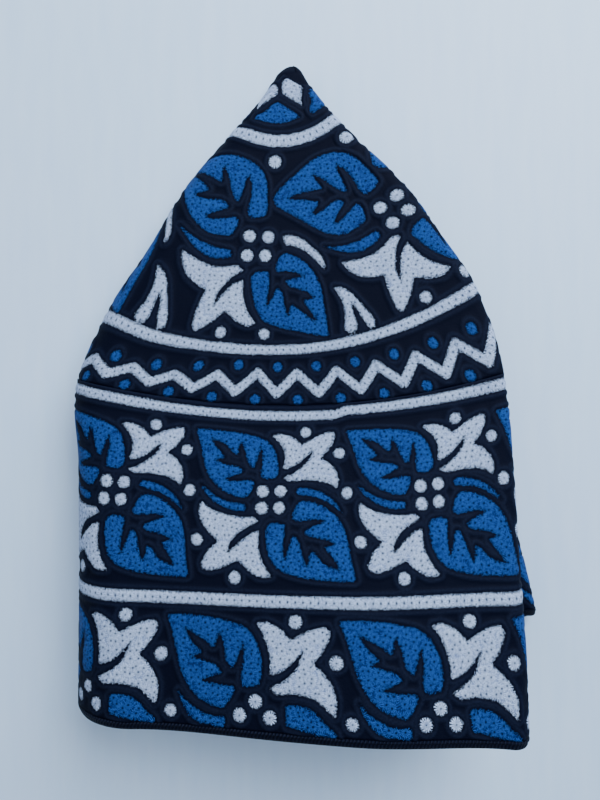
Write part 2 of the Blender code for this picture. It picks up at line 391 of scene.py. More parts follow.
CROWN_BUD = (
    (1275, 1060), (1340, 1065), (1400, 1100), (1470, 1170), (1540, 1240), (1568, 1290), (1530, 1320),
    (1490, 1280), (1440, 1200), (1395, 1155), (1410, 1220), (1440, 1300), (1430, 1345), (1390, 1360),
    (1350, 1340), (1360, 1250), (1340, 1160), (1300, 1090),
)
# This leaf was charted on the next group
NEXT_LEAF = (
    (850, 470), (890, 410), (950, 350), (1030, 275), (1110, 200), (1180, 160), (1250, 138), (1320, 140),
    (1390, 170), (1450, 225), (1500, 275), (1545, 330), (1520, 380), (1480, 420), (1440, 405), (1390, 320),
    (1340, 260), (1275, 220), (1280, 260), (1320, 330), (1350, 405), (1320, 405), (1270, 380), (1200, 330),
    (1115, 290), (1130, 320), (1190, 390), (1120, 405), (1040, 425), (955, 460), (960, 475), (1060, 475),
    (1165, 480), (1150, 520), (1115, 570), (1150, 570), (1210, 530), (1260, 480), (1300, 465), (1335, 475),
    (1310, 530), (1280, 590), (1275, 630), (1310, 620), (1370, 550), (1410, 490), (1440, 490), (1465, 530),
    (1480, 600), (1440, 640), (1370, 690), (1300, 705), (1220, 695), (1140, 660), (1040, 605), (950, 560),
    (870, 520),
)
CROWN_DOTS = (
    (690, 727, 43), (818, 733, 43), (673, 860, 43), (797, 860, 43), (862, 218, 45), (493, 1353, 38),
    (793, 1380, 38),
)
crown_chart_centre = (872.6, -422.7)
group_turn = 45.8
group_at = -6.1

# %% The star at the crown's middle
STAR_BLUE = (
    (760, 570), (830, 610), (900, 650), (980, 690), (1055, 740), (980, 780), (900, 815), (800, 840),
    (700, 840), (600, 825), (480, 785), (490, 740), (570, 710), (640, 670), (690, 610),
)
STAR_WHITE = (
    (870, 240), (940, 225), (1020, 245), (1070, 290), (1070, 450), (1060, 520), (1080, 590), (1000, 550),
    (920, 510), (830, 455), (820, 380), (820, 300),
)
star_centre = (758, 105)
print("corners in the lower leaf:", len(LEAF), "and in the upper leaf:", len(UPPER_LEAF))

# %% [markdown]
# ## From chart to cloth
# For every point of the cloth we need one number per colour: how far inside or outside that colour's
# shapes it lies. The distance to an outline is the least distance to any of its edges, and its sign comes
# from counting how many edges a line to the right crosses. Only points near a shape are worked out.

# %% Distance to an outline
# All in millimetres; beyond the reach, a distance isn't worked out
reach = 2.4
stitch_pitch = 1.75
corner_cut = 0.12


def rounded(outline):
    """Each corner is cut once, a short way along both its edges, which rounds the shape."""
    points = np.array(outline, dtype=float)
    following = np.roll(points, -1, axis=0)
    along = (following - points) * corner_cut
    cut = np.stack([points + along, following - along], axis=1)
    return cut.reshape(-1, 2)


def inside_distance(x, y, outline):
    """Distance to the nearest edge, positive inside, where an odd number of edges is crossed."""
    ax, ay = outline[:, 0], outline[:, 1]
    bx, by = np.roll(ax, -1), np.roll(ay, -1)
    ex, ey = bx - ax, by - ay
    px, py = x[:, None] - ax, y[:, None] - ay
    share = np.clip((px * ex + py * ey) / np.maximum(ex**2 + ey**2, 1e-9), 0.0, 1.0)
    near = np.sqrt(((px - share * ex) ** 2 + (py - share * ey) ** 2).min(axis=1))
    level = (ay <= y[:, None]) != (by <= y[:, None])
    slope = np.where(np.abs(ey) < 1e-9, 1e-9, ey)
    crossed = (level & (px < py * ex / slope)).sum(axis=1)
    return np.where(crossed % 2 == 1, near, -near)


# A sewn dot is this share of the charted one, because its threads fray outwards
sewn_share = 0.88
# A dot is one stitch cell of its own, far from the others, and a little wider than the dot
dot_cell = 0.46
dot_cell_at = 40.0
dot_margin = 0.25
line_margin = 0.3
line_cell = 2.1


class Sheet:
    """The pattern's numbers at each point: distance inside white and blue, stitch place, and evenness."""

    def __init__(self, count):
        self.white = np.full(count, -reach)
        self.blue = np.full(count, -reach)
        self.stitch = np.zeros((count, 2))
        self.even = np.zeros(count)

    def fill(self, colour, x, y, outline, unit):
        """Adds one outline. The unit is the length of a tenth of a square, in millimetres."""
        margin = reach / unit
        low, high = outline.min(axis=0) - margin, outline.max(axis=0) + margin
        near = np.nonzero((x > low[0]) & (x < high[0]) & (y > low[1]) & (y < high[1]))[0]
        if len(near) == 0:
            return
        field = getattr(self, colour)
        depth = inside_distance(x[near], y[near], outline) * unit
        field[near] = np.maximum(field[near], depth)

    def dot(self, colour, x, y, centre_x, centre_y, radius):
        """Adds a round dot: its radius less the distance to its centre."""
        radius = sewn_share * radius
        off = np.hypot(x - centre_x, y - centre_y)
        near = np.nonzero(off < radius + reach)[0]
        field = getattr(self, colour)
        field[near] = np.maximum(field[near], radius - off[near])
        inner = np.nonzero(off < radius + dot_margin)[0]
        scale = dot_cell / radius
        self.stitch[inner, 0] = (x[inner] - centre_x) * scale + dot_cell_at
        self.stitch[inner, 1] = (y[inner] - centre_y) * scale + dot_cell_at
        self.even[inner] = 2.0

    def line(self, colour, along, across, half_width):
        """Adds a line of ladder stitch: half its width less the distance from its middle."""
        depth = half_width - np.abs(across)
        near = np.nonzero(depth > -reach)[0]
        field = getattr(self, colour)
        field[near] = np.maximum(field[near], depth[near])
        inner = np.nonzero(depth > -line_margin)[0]
        self.stitch[inner, 0] = along[inner] / stitch_pitch
        self.stitch[inner, 1] = across[inner] / (line_cell * half_width)
        self.even[inner] = 1.0


def fitted(outline, old_low, old_high, new_low, new_high):
    """An outline moved and stretched from one box of the chart to another."""
    points = np.array(outline, dtype=float)
    share = (points - old_low) / (np.array(old_high) - old_low)
    return share * (np.array(new_high) - new_low) + new_low


def half_turned(outline, centre):
    """An outline turned half way round a point: twice the centre, less the corner."""
    return 2.0 * np.array(centre) - np.array(outline, dtype=float)


turned_leaf = half_turned(UPPER_LEAF, upper_centre)
FACING_LEAF = fitted(turned_leaf, turned_leaf.min(axis=0), turned_leaf.max(axis=0), (610, 727), (1247, 1300))
print("the facing leaf spans", FACING_LEAF.min(axis=0), FACING_LEAF.max(axis=0))

# %% [markdown]
# ## The crown's pattern
# The crown is round, so its pattern is laid out by angle and radius. Unrolled, a point at distance s from
# the tip and length a round the ring lies at angle a over s. The embroidery is not quite centred on the
# folded tip, so everything but the zigzag at the seam is measured from its own centre.

# %% Rings, groups and star of the crown
# In millimetres and degrees; a ring is its radius and half its width, and a dot its distance and radius
crown_centre = (-3.1, -1.8)
ring_one = (20.9, 1.5)
ring_two = (75.3, 1.1)
zigzag_high = 82.9
zigzag_low = 88.1
zigzag_step = 10.45
zigzag_at = -3.0
zigzag_flatter = 2.6
zigzag_flatter_over = (6.0, 32.0)
zigzag_half = 1.0
leg_stitches = 7.0
upper_dot = (81.4, 1.3)
lower_dot = (89.7, 1.25)
upper_dot_lower_over = (14.0, 34.0)
drawn_in = 1.2
drawn_in_over = (22.0, 33.0)
plain_tip = 4.6
plain_tip_more = 5.0
plain_tip_more_over = (35.0, 60.0)
angle_squeeze = 0.904
group_angle = -5.7
chart_start = 1.9
chart_unit = 0.03846
chart_mean_unit = 0.96 * chart_unit
star_unit = 0.0218


def turned(outline, centre, degrees):
    """An outline turned about a centre, by the usual sums of sines and cosines."""
    points = np.array(outline, dtype=float) - centre
    turn = np.radians(degrees)
    x = points[:, 0] * np.cos(turn) + points[:, 1] * np.sin(turn)
    y = points[:, 1] * np.cos(turn) - points[:, 0] * np.sin(turn)
    return np.column_stack([x, y]) + centre


def crown_pattern(along, down):
    """Charts on the unrolled crown, by angle and radius from the pattern's centre; all in millimetres."""
    a = along.ravel() * 1000.0
    s = down.ravel() * 1000.0
    flat_x = s * np.sin(a / s) - crown_centre[0]
    flat_y = s * np.cos(a / s) + crown_centre[1]
    radius = np.hypot(flat_x, flat_y)
    angle = np.degrees(np.arctan2(flat_x, flat_y))
    sheet = Sheet(len(a))
    sheet.stitch[:, 0] = flat_x / stitch_pitch
    sheet.stitch[:, 1] = flat_y / stitch_pitch

    chart_radius = (radius - chart_start) / chart_unit
    chart_angle = np.radians(group_at + (angle - group_angle) / angle_squeeze)
    x = crown_chart_centre[0] + chart_radius * np.sin(chart_angle)
    y = crown_chart_centre[1] + chart_radius * np.cos(chart_angle)
    own_leaf = turned(NEXT_LEAF, crown_chart_centre, -group_turn)
    unit = chart_mean_unit
    shapes = [
        ("blue", CROWN_CRESCENT), ("white", CROWN_FLOWER), ("blue", CROWN_LEAF), ("blue", own_leaf),
        ("white", CROWN_WHITE_CRESCENT), ("white", CROWN_BUD),
    ]
    for group in range(-4, 5):
        for colour, outline in shapes:
            placed = turned(rounded(outline), crown_chart_centre, group * group_turn)
            sheet.fill(colour, x, y, placed, unit)
        for dot_x, dot_y, dot_radius in CROWN_DOTS:
            placed = turned([(dot_x, dot_y)], crown_chart_centre, group * group_turn)[0]
            sheet.dot("white", x * unit, y * unit, placed[0] * unit, placed[1] * unit, dot_radius * unit)

    star_radius = radius / star_unit
    star_angle = np.radians(angle / angle_squeeze)
    star_x = star_centre[0] + star_radius * np.sin(star_angle)
    star_y = star_centre[1] + star_radius * np.cos(star_angle)
    for point in range(6):
        sheet.fill("blue", star_x, star_y, turned(rounded(STAR_BLUE), star_centre, 60 * point), star_unit)
        sheet.fill("white", star_x, star_y, turned(rounded(STAR_WHITE), star_centre, 60 * point), star_unit)

    arc = np.radians(angle)
    sheet.line("white", arc * ring_one[0], radius - ring_one[0], ring_one[1])
    inwards = drawn_in * soft_step(-angle, *drawn_in_over)
    sheet.line("white", arc * ring_two[0], radius - ring_two[0] + inwards, ring_two[1])
    add_zigzag(sheet, a / s * zigzag_low, s)
    more = plain_tip_more * soft_step(angle, *plain_tip_more_over)
    sheet.white = np.minimum(sheet.white, s - plain_tip - more)
    sheet.blue = np.minimum(sheet.blue, s - plain_tip)
    return sheet


def add_zigzag(sheet, around, s):
    """A line folded back and forth: distance to one leg, each step mirrored about its lower corner.

    The legs are lower towards the left, where the cloth was drawn in at the seam.
    """
    high = zigzag_high + zigzag_flatter * soft_step(-around, *zigzag_flatter_over)
    steps = (around - zigzag_at) / zigzag_step
    whole = np.round(steps)
    px = np.abs(steps - whole) * zigzag_step
    py = s - zigzag_low
    leg_x = zigzag_step / 2
    leg_y = high - zigzag_low
    length = np.hypot(leg_x, leg_y)
    along = (px * leg_x + py * leg_y) / length
    held = np.clip(along, 0.0, length)
    across = np.hypot(px - held * leg_x / length, py - held * leg_y / length)
    side = np.sign(px * leg_y - py * leg_x)
    sheet.line("white", along + whole * leg_stitches, across * side, zigzag_half)
    half = np.floor(steps) + 0.5
    upper = s - upper_dot[0] - zigzag_flatter * soft_step(-around, *upper_dot_lower_over)
    sheet.dot("blue", around - (zigzag_at + whole * zigzag_step), upper, 0.0, 0.0, upper_dot[1])
    sheet.dot("blue", around - (zigzag_at + half * zigzag_step), s - lower_dot[0], 0.0, 0.0, lower_dot[1])


# %% [markdown]
# ## The side band's pattern
# The band is a straight strip, so its pattern is a frieze: two rows of one motif each, between lines of
# ladder stitch. A line's distance from the tip is nearly even, with a small step where its start and
# finish meet.

# %% Lines and rows of the band
# In millimetres. A line is its distance from the tip and half its width. A row is its motif's place in
# repeats, its distance from the tip, and the size of the chart's unit across and down the cloth.
first_line = (92.8, 1.0)
second_line = (137.4, 1.22)
repeat_at_seam = 36.0
repeat_growth = 0.07
upper_row = (-0.108, 114.3, 0.0335, 0.0317)
lower_row = (-0.174, 158.7, 0.0313, 0.0300)
nearer_towards_hem = 0.0013
line_rise = 0.9
line_rises_over = (-60.0, -10.0)
line_steps_over = (11.0, 14.8)


def band_pattern(along, down):
    """Each row's chart is repeated along the strip: place in the repeat times the repeat's length."""
    a = along.ravel() * 1000.0
    s = down.ravel() * 1000.0
    sheet = Sheet(len(a))
    sheet.stitch[:, 0] = a / stitch_pitch
    sheet.stitch[:, 1] = s / stitch_pitch
    repeat = repeat_at_seam + repeat_growth * (s - crown_radius * 1000.0)

    shapes = [
        ("blue", UPPER_LEAF), ("blue", FACING_LEAF), ("white", UPPER_FLOWER), ("white", FACING_FLOWER),
        ("blue", UPPER_CRESCENT), ("blue", half_turned(UPPER_CRESCENT, upper_centre)),
    ]
    add_row(sheet, a / repeat, s, upper_row, upper_centre, repeat, shapes, UPPER_DOTS)

    shapes = [
        ("blue", LEAF), ("white", OPEN_FLOWER), ("blue", LEFT_CRESCENT), ("blue", RIGHT_CRESCENT),
    ]
    add_row(sheet, a / repeat, s, lower_row, lower_centre, repeat, shapes, LOWER_DOTS)

    rise = line_rise * np.interp(a, line_rises_over, (0.0, 1.0)) * (1.0 - soft_step(a, *line_steps_over))
    sheet.line("white", a, s - first_line[0] - rise, first_line[1])
    sheet.line("white", a, s - second_line[0], second_line[1])
    return sheet


def add_row(sheet, repeats, s, row, centre, repeat, shapes, dots):
    """Brings the cloth into the chart of the nearest motif, and of the ones beside it.

    The chart was drawn as the cap is seen, where cloth nearer the hem looks larger, so a square of the
    chart is a little less cloth there.
    """
    centre_at, centre_down, across_middle, down_unit = row
    across_unit = across_middle * (1.0 - nearer_towards_hem * (s - centre_down))
    place = repeats - centre_at
    y = centre[1] + (s - centre_down) / down_unit
    for beside in (-1, 0, 1):
        x = centre[0] + (place - np.round(place) + beside) * repeat / across_unit
        for colour, outline in shapes:
            sheet.fill(colour, x, y, rounded(outline), (across_middle + down_unit) / 2)
        for dot_x, dot_y, radius in dots:
            sheet.dot(
                "white", x * across_middle, y * down_unit, dot_x * across_middle, dot_y * down_unit,
                radius * across_middle,
            )


# %% [markdown]
# ## Raising the stitches and making the meshes
# Dense stitching stands proud of the cloth, and a satin cord runs round every shape. Both are thick enough
# to catch the light, so they are real height in the mesh, a few tenths of a millimetre, and only the single
# threads are left to the material. The grid's own normals say which way is out.

# %% Height of the stitches
fill_height = 0.30
cord_height = 0.34
cord_middle = 0.85
cord_half = 0.75
fill_edge = (-0.15, 0.55)
faces_down = (0.35, 0.9)


def stitch_height(sheet):
    """Fill: a soft step up inside a shape. Cord: one less the square of the distance from its middle."""
    inside = np.maximum(sheet.white, sheet.blue)
    fill = fill_height * soft_step(inside, *fill_edge)
    cord = cord_height * np.clip(1.0 - ((-inside - cord_middle) / cord_half) ** 2, 0.0, 1.0)
    return np.maximum(fill, cord)


def grid_normals(points):
    """The cross product of the step round the ring and the step down the cloth, made unit length."""
    round_step = np.roll(points, -1, axis=1) - np.roll(points, 1, axis=1)
    down_step = np.gradient(points, axis=0)
    normal = np.cross(round_step, down_step)
    return normal / np.maximum(np.linalg.norm(normal, axis=2), 1e-12)[:, :, None]


def raise_stitches(points, hidden, height_mm):
    """Moves points along their normals. On the table side the tops of the stitches touch the table."""
    normal = grid_normals(points)
    under = soft_step(-normal[:, :, 2], *faces_down)
    height = height_mm.reshape(hidden.shape) * (1.0 - hidden) - cord_height * under
    return points + normal * (height * 0.001)[:, :, None]


# %% Meshes from arrays
def grid_quads(first, rows, columns, inward):
    """Quads between neighbouring rings of a grid, closed round; turned over for an inward face."""
    ring, j = np.meshgrid(np.arange(rows - 1), np.arange(columns), indexing="ij")
    right = (j + 1) % columns
    here = ring * columns
    below = here + columns
    corners = [here + j, here + right, below + right, below + j]
    quads = np.stack(corners, axis=2).reshape(-1, 4) + first
    return quads[:, ::-1] if inward else quads


def ring_quads(first, second, columns):
    """Quads from one ring to another."""
    j = np.arange(columns)
    right = (j + 1) % columns
    return np.column_stack([first + j, first + right, second + right, second + j])


def cloth_quads(rows, lining_rows):
    """The outside, the lining turned inwards, and the strip between their last rings."""
    size = rows * column_count
    return np.vstack([
        grid_quads(0, rows, column_count, False),
        grid_quads(size, lining_rows, column_count, True),
        ring_quads(size - column_count, size + (lining_rows - 1) * column_count, column_count),
    ])


def tip_triangles(points, first, inward):
    """Triangles that close a ring, cut as ears from its outline seen along the cap."""
    outline = [(p[0], p[2], 0.0) for p in points]
    triangles = np.array(tessellate_polygon([outline]))
    a, b, c = (np.array([outline[k] for k in triangles[:, i]]) for i in range(3))
    area = np.cross(b - a, c - a)[:, 2]
    triangles[area > 0] = triangles[area > 0][:, ::-1]
    triangles = triangles + first
    return triangles if inward else triangles[:, ::-1]


def make_mesh(name, points, quads, triangles):
    """Writes whole arrays into a mesh: corners, then where each face starts and how many it has."""
    mesh = bpy.data.meshes.new(name)
    mesh.vertices.add(len(points))
    mesh.vertices.foreach_set("co", points.astype(np.float32).ravel())
    corners = np.concatenate([quads.ravel(), triangles.ravel()]).astype(np.int32)
    sizes = np.concatenate([np.full(len(quads), 4), np.full(len(triangles), 3)]).astype(np.int32)
    mesh.loops.add(len(corners))
    mesh.loops.foreach_set("vertex_index", corners)
    mesh.polygons.add(len(sizes))
    mesh.polygons.foreach_set("loop_start", (np.cumsum(sizes) - sizes).astype(np.int32))
    mesh.polygons.foreach_set("loop_total", sizes)
    mesh.polygons.foreach_set("use_smooth", np.ones(len(sizes), dtype=bool))
    mesh.update(calc_edges=True)
    mesh.validate()
    piece = bpy.data.objects.new(name, mesh)
    bpy.context.collection.objects.link(piece)
    print(name, "faces:", len(sizes), "corners:", len(points))
    return piece


def add_vectors(piece, name, vectors):
    """One vector per corner, which the material reads by name."""
    data = piece.data.attributes.new(name, "FLOAT_VECTOR", "POINT")
    data.data.foreach_set("vector", vectors.astype(np.float32).ravel())


def put_pattern_on(piece, sheet, lining_along, lining_down):
    """Two attributes: distances inside white and blue with the evenness, and the stitch's place."""
    lining = np.column_stack([lining_along.ravel(), lining_down.ravel(), np.zeros(lining_down.size)])
    plain = np.tile([-reach, -reach, 0.0], (len(lining), 1))
    outer = np.column_stack([sheet.white, sheet.blue, sheet.even])
    add_vectors(piece, "pattern", np.vstack([outer, plain]))
    outer = np.column_stack([sheet.stitch, np.zeros(len(sheet.even))])
    add_vectors(piece, "stitch", np.vstack([outer, lining * 1000.0 / stitch_pitch]))


# %% The crown
# Past the plain model's blunt end, a few shrinking rings round off its point. The sewn pieces nearly
# touch, because from above a wider gap would let the table show through all the layers.
sewn_gap = 0.00002
crown_rows = 158
tip_crowding = 1.1
nose_taper = 0.6
crown_lining_rows = 14
rim = crown_radius - sewn_gap / 2
closer_at_tip = np.linspace(0.0, 1.0, crown_rows) ** tip_crowding
crown_distances = tip_blunt + (rim - tip_blunt) * closer_at_tip
crown_points, crown_along, crown_down, crown_hidden = cloth_grid(crown_distances, 0.0)
nose = np.array([0.0003, 0.0009, 0.0016, 0.0023])
nose_width = (nose / tip_blunt) ** nose_taper
tip_ring = crown_points[0]
tip_middle = tip_ring.mean(axis=0)
nose_rings = tip_middle + (tip_ring - tip_middle) * nose_width[:, None, None]
nose_rings[:, :, 1] += (tip_blunt - nose)[:, None]
crown_points = np.concatenate([nose_rings, crown_points])
crown_along = np.concatenate([crown_along[:1] * nose_width[:, None], crown_along])
crown_down = np.concatenate([np.repeat(nose[:, None], column_count, axis=1), crown_down])
crown_hidden = np.concatenate([np.repeat(crown_hidden[:1], len(nose), axis=0), crown_hidden])
crown_rows += len(nose)
crown_sheet = crown_pattern(crown_along, crown_down)
crown_raised = raise_stitches(crown_points, crown_hidden, stitch_height(crown_sheet))
lining_distances = np.linspace(lining_start, rim, crown_lining_rows)
lining_points, lining_along, lining_down, _ = cloth_grid(lining_distances, cloth_wall)
crown_tips = np.vstack([
    tip_triangles(crown_raised[0], 0, False),
    tip_triangles(lining_points[0], crown_rows * column_count, True),
])
crown_piece = make_mesh(
    "embroidered_crown",
    np.vstack([crown_raised.reshape(-1, 3), lining_points.reshape(-1, 3)]),
    cloth_quads(crown_rows, crown_lining_rows), crown_tips,
)
put_pattern_on(crown_piece, crown_sheet, lining_along, lining_down)

# %% The side band
# The binding in the photograph is narrower than the plain model's strip.
binding_width = 0.0021
band_rows = 152
band_lining_rows = 16
band_start = crown_radius + sewn_gap / 2
band_end = crown_radius + band_height - binding_width - sewn_gap / 2
band_distances = np.linspace(band_start, band_end, band_rows)
band_points, band_along, band_down, band_hidden = cloth_grid(band_distances, 0.0)
band_sheet = band_pattern(band_along, band_down)
band_raised = raise_stitches(band_points, band_hidden, stitch_height(band_sheet))
lining_distances = np.linspace(band_start, band_end, band_lining_rows)
lining_points, lining_along, lining_down, _ = cloth_grid(lining_distances, cloth_wall)
seam_strip = ring_quads(0, band_rows * column_count, column_count)[:, ::-1]
band_quads = np.vstack([cloth_quads(band_rows, band_lining_rows), seam_strip])
no_triangles = np.zeros((0, 3), dtype=int)
band_piece = make_mesh(
    "embroidered_band",
    np.vstack([band_raised.reshape(-1, 3), lining_points.reshape(-1, 3)]),
    band_quads, no_triangles,
)
put_pattern_on(band_piece, band_sheet, lining_along, lining_down)

# %% [markdown]
# ## The bound hem
# The edge is wrapped in close overcast stitches, so in section it is a rounded bead. We carry that section
# round the cap: down the outside, round the edge as half a circle, and up the inside.

# %% The hem as a section carried round the cap
edge_end = crown_radius + band_height
edge_start = edge_end - binding_width + sewn_gap / 2
edge_radius = hem_wall / 2
binding_swell = 0.0003
round_angle = np.linspace(0.0, np.pi, 9)
face_share = np.linspace(0.0, 1.0, 8)[:-1]
outside = np.column_stack([
    edge_start + (edge_end - edge_radius - edge_start) * face_share,
    -binding_swell * np.sin(np.pi * np.minimum(face_share * 1.1, 1.0)),
])
round_edge = np.column_stack([
    edge_end - edge_radius + edge_radius * np.sin(round_angle),
    edge_radius - edge_radius * np.cos(round_angle),
])
inside = np.column_stack([outside[::-1, 0], np.full(len(outside), hem_wall)])
section = np.vstack([outside, round_edge, inside])
hem_points, hem_along, _, _ = cloth_grid(section[:, 0], section[:, 1])
hem_points[:, :, 2] = np.maximum(hem_points[:, :, 2], 0.0)
section_steps = np.concatenate([[0.0], np.cumsum(np.linalg.norm(np.diff(section, axis=0), axis=1))])
hem_rows = len(section)
hem_quads = np.vstack([
    grid_quads(0, hem_rows, column_count, False),
    ring_quads((hem_rows - 1) * column_count, 0, column_count),
])
hem_piece = make_mesh("bound_hem", hem_points.reshape(-1, 3), hem_quads, no_triangles)
hem_stitch = np.stack([
    hem_along * 1000.0, np.repeat(section_steps[:, None], column_count, axis=1) * 1000.0, 0 * hem_along,
], axis=2)
add_vectors(hem_piece, "stitch", hem_stitch.reshape(-1, 3))
print("hem section points:", hem_rows)

# %% [markdown]
# ## The thread
# The stitches are worked round small holes, about 1.75 mm apart, and the threads run out from each hole
# like spokes. A Voronoi texture gives exactly this: it tells each point where its cell's middle is. The
# angle from that middle makes the spokes, and the distance to it makes the hole. On lines the cells stand
# in a row, a dot is one cell, and in the fills they wander. The colour comes from the distances that the
# mesh carries, and the threads fray the edge between two colours by a few tenths of a millimetre.

# %% Thread colours, and small helpers for node trees
# The shade colours of the white and blue threads are painted shade, and the lighter navy and the lighter blue
# are painted highlight.
NAVY = (0.0008, 0.0014, 0.0075, 1.0)
NAVY_PAINTED_HIGHLIGHT = (0.0055, 0.0080, 0.022, 1.0)
WHITE = (0.62, 0.73, 1.0, 1.0)
WHITE_SHADE = (0.08, 0.115, 0.25, 1.0)
BLUE = (0.003, 0.033, 0.170, 1.0)
BLUE_PAINTED_HIGHLIGHT = (0.020, 0.100, 0.360, 1.0)
BLUE_SHADE = (0.0006, 0.006, 0.040, 1.0)


def new_material(name):
    """An empty material and its node tree."""
    material = bpy.data.materials.new(name)
    material.use_nodes = True
    material.node_tree.nodes.clear()
    return material, material.node_tree


def give(tree, value, socket):
    """Sets a socket to a number or a colour, or links another node's output to it."""
    if isinstance(value, (int, float, tuple)):
        socket.default_value = value
    else:
        tree.links.new(value, socket)


def math_node(tree, operation, *values):
    """One sum, with numbers or links for its inputs."""
    node = tree.nodes.new("ShaderNodeMath")
    node.operation = operation
    for socket, value in zip(node.inputs, values):
        give(tree, value, socket)
    return node.outputs[0]


def between(tree, value, low, high, new_low=0.0, new_high=1.0):
    """A value carried from one range to another, held at both ends."""
    node = tree.nodes.new("ShaderNodeMapRange")
    tree.links.new(value, node.inputs["Value"])
    for name, number in (("From Min", low), ("From Max", high), ("To Min", new_low), ("To Max", new_high)):
        node.inputs[name].default_value = number
    return node.outputs["Result"]


def mixed(tree, share, first, second):
    """A colour between two others."""
    node = tree.nodes.new("ShaderNodeMix")
    node.data_type = "RGBA"
    tree.links.new(share, node.inputs["Factor"])
    give(tree, first, node.inputs[6])
    give(tree, second, node.inputs[7])
    return node.outputs[2]


def noise(tree, place, scale, detail):
    """The grey value of a noise, from 0 to 1."""
    node = tree.nodes.new("ShaderNodeTexNoise")
    tree.links.new(place, node.inputs["Vector"])
    node.inputs["Scale"].default_value = scale
    node.inputs["Detail"].default_value = detail
    return node.outputs["Fac"]


def own_place(tree):
    """Where a point lies, in metres."""
    return tree.nodes.new("ShaderNodeTexCoord").outputs["Object"]


def split_apart(tree, vector):
    """The three numbers of a vector."""
    node = tree.nodes.new("ShaderNodeSeparateXYZ")
    tree.links.new(vector, node.inputs[0])
    return node.outputs[0], node.outputs[1], node.outputs[2]


def read_attribute(tree, name):
    """A vector that the mesh carries."""
    source = tree.nodes.new("ShaderNodeAttribute")
    source.attribute_name = name
    return source.outputs["Vector"]


def finish_thread(tree, colour, roughness, specular, height, depth):
    """A matt surface of thread, with the height as a fine bump, its depth in metres."""
    bump = tree.nodes.new("ShaderNodeBump")
    bump.inputs["Strength"].default_value = 0.8
    bump.inputs["Distance"].default_value = depth
    tree.links.new(height, bump.inputs["Height"])
    shader = tree.nodes.new("ShaderNodeBsdfPrincipled")
    shader.inputs["Specular IOR Level"].default_value = specular
    give(tree, colour, shader.inputs["Base Color"])
    give(tree, roughness, shader.inputs["Roughness"])
    tree.links.new(bump.outputs["Normal"], shader.inputs["Normal"])
    output = tree.nodes.new("ShaderNodeOutputMaterial")
    tree.links.new(shader.outputs["BSDF"], output.inputs["Surface"])


# %% Stitches: spokes, holes and how light each thread is
# Fifteen spokes run round each hole. Distances from it are shares of a stitch.
spoke_waves = 15.0
full_turn = 6.28
wandering = 0.62


def stitch_cells(tree, place, even):
    """Spokes from the angle about each cell's middle; hole and rim from the distance to it."""
    cells = tree.nodes.new("ShaderNodeTexVoronoi")
    cells.voronoi_dimensions = "2D"
    cells.inputs["Scale"].default_value = 1.0
    tree.links.new(place, cells.inputs["Vector"])
    tree.links.new(between(tree, even, 0.0, 1.0, wandering, 0.0), cells.inputs["Randomness"])
    away = tree.nodes.new("ShaderNodeVectorMath")
    away.operation = "SUBTRACT"
    tree.links.new(place, away.inputs[0])
    tree.links.new(cells.outputs["Position"], away.inputs[1])
    across, down, _ = split_apart(tree, away.outputs["Vector"])
    angle = math_node(tree, "ARCTAN2", down, across)
    tone = tree.nodes.new("ShaderNodeSeparateColor")
    tree.links.new(cells.outputs["Color"], tone.inputs[0])
    own_start = math_node(tree, "MULTIPLY", tone.outputs[0], full_turn)
    wave = math_node(tree, "SINE", math_node(tree, "MULTIPLY_ADD", angle, spoke_waves, own_start))
    spokes = math_node(tree, "MULTIPLY_ADD", wave, 0.5, 0.5)

    off = cells.outputs["Distance"]
    off_in_dot = math_node(tree, "MULTIPLY", off, math_node(tree, "MAXIMUM", even, 1.0))
    hole = between(tree, off_in_dot, 0.03, 0.17, 0.25, 1.0)
    rim_of_cell = between(tree, off, 0.42, 0.72, 1.0, 0.0)
    return spokes, hole, rim_of_cell


def painted_thread_light(tree, spokes, hole, rim_of_cell, grain, broad):
    """Painted light and shade on a thread, as a product: lighter along its spoke, painted shade in the hole
    and at the cell's rim, and two noises of random tone.
    """
    light = math_node(tree, "MULTIPLY", math_node(tree, "MULTIPLY_ADD", spokes, 0.55, 0.45), hole)
    light = math_node(tree, "MULTIPLY", light, math_node(tree, "MULTIPLY_ADD", rim_of_cell, 0.45, 0.55))
    light = math_node(tree, "MULTIPLY", light, between(tree, broad, 0.3, 0.7, 0.85, 1.1))
    return math_node(tree, "MULTIPLY", light, between(tree, grain, 0.35, 0.65, 0.6, 1.25))


def ground_with_painted_cord_highlight(tree, white, blue, grain):
    """Navy, with a painted highlight on the crest of the cord, which runs a fixed distance outside every
    shape.
    """
    outside = math_node(tree, "MULTIPLY", math_node(tree, "MAXIMUM", white, blue), -1.0)
    from_crest = math_node(tree, "ABSOLUTE", math_node(tree, "SUBTRACT", outside, 0.9))
    # Painted highlight: the crest of the cord is painted lighter, broken up by the grain noise.
    crest = between(tree, from_crest, 0.1, 0.7, 1.0, 0.12)
    crest = math_node(tree, "MULTIPLY", crest, between(tree, grain, 0.25, 0.7, 0.3, 1.0))
    return mixed(tree, crest, NAVY, NAVY_PAINTED_HIGHLIGHT)


